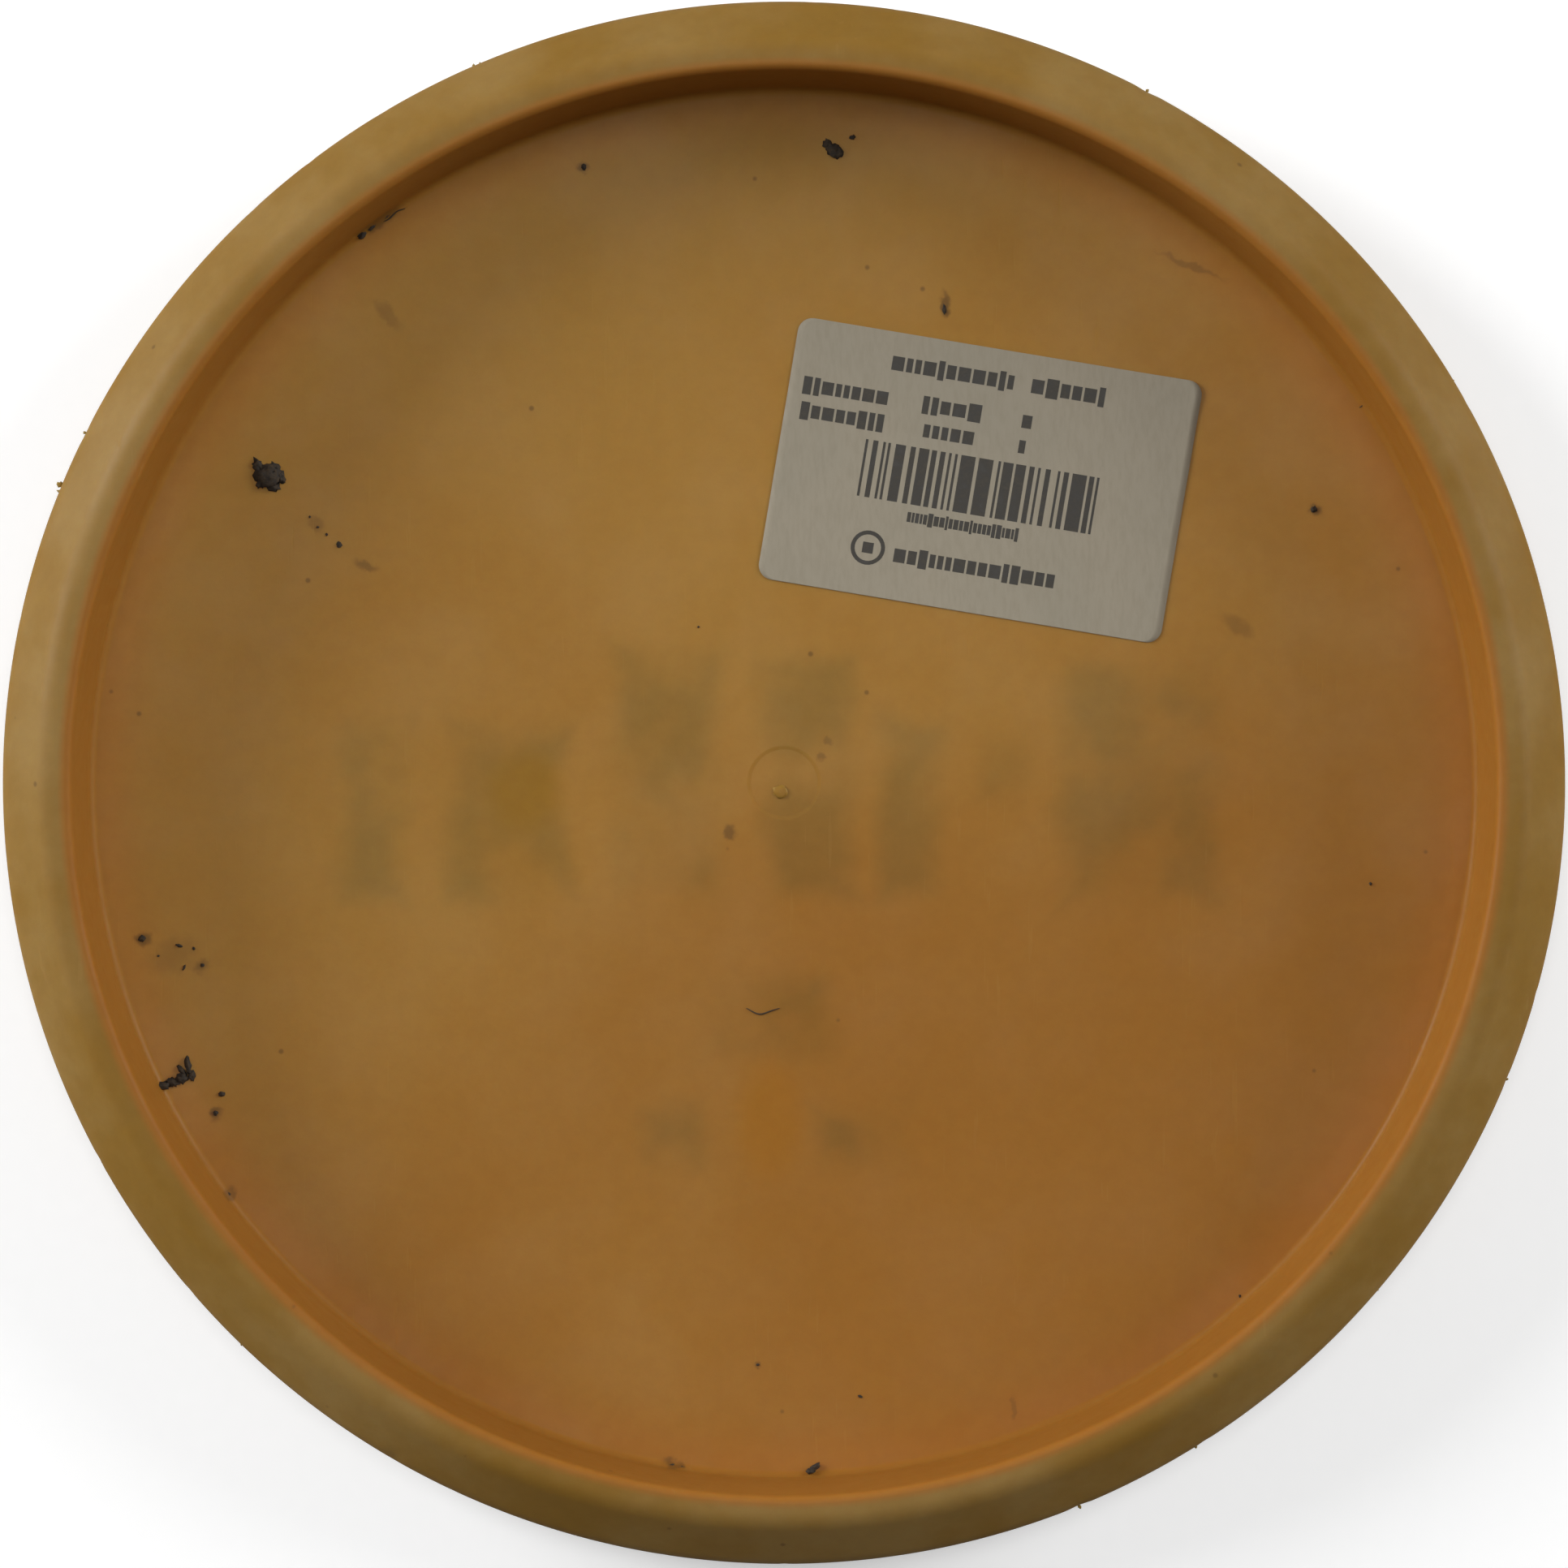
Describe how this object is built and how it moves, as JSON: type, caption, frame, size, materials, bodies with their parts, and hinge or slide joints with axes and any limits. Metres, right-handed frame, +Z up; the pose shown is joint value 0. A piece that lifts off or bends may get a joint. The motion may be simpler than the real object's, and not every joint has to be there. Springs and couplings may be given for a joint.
{
  "type": "disc golf putter",
  "caption": "Round golden-orange flying disc for disc golf, lying upside down: deep rim, thin flight plate, price label inside and stamped foil on top.",
  "frame": {"origin": "middle of the face the disc lies on, which is the middle of the flat of its own top", "axes": "+Z up out of the hollow underside, along the disc's axis of symmetry; +Y towards the edge nearest the price label; +X to its right seen from above"},
  "size_m": [0.212, 0.212, 0.0186],
  "materials": {
    "disc_plastic": "satin, slightly translucent, scuffed",
    "label_adhesive": "clear tacky film",
    "label_paper": "thermal paper, yellowed",
    "stamp_foil": "metallic foil, worn"
  },
  "bodies": {
    "root": {"disc": "disc_plastic", "label_adhesive": "label_adhesive", "price_label": "label_paper", "stamp_foil": "stamp_foil"}
  },
  "joints": []
}
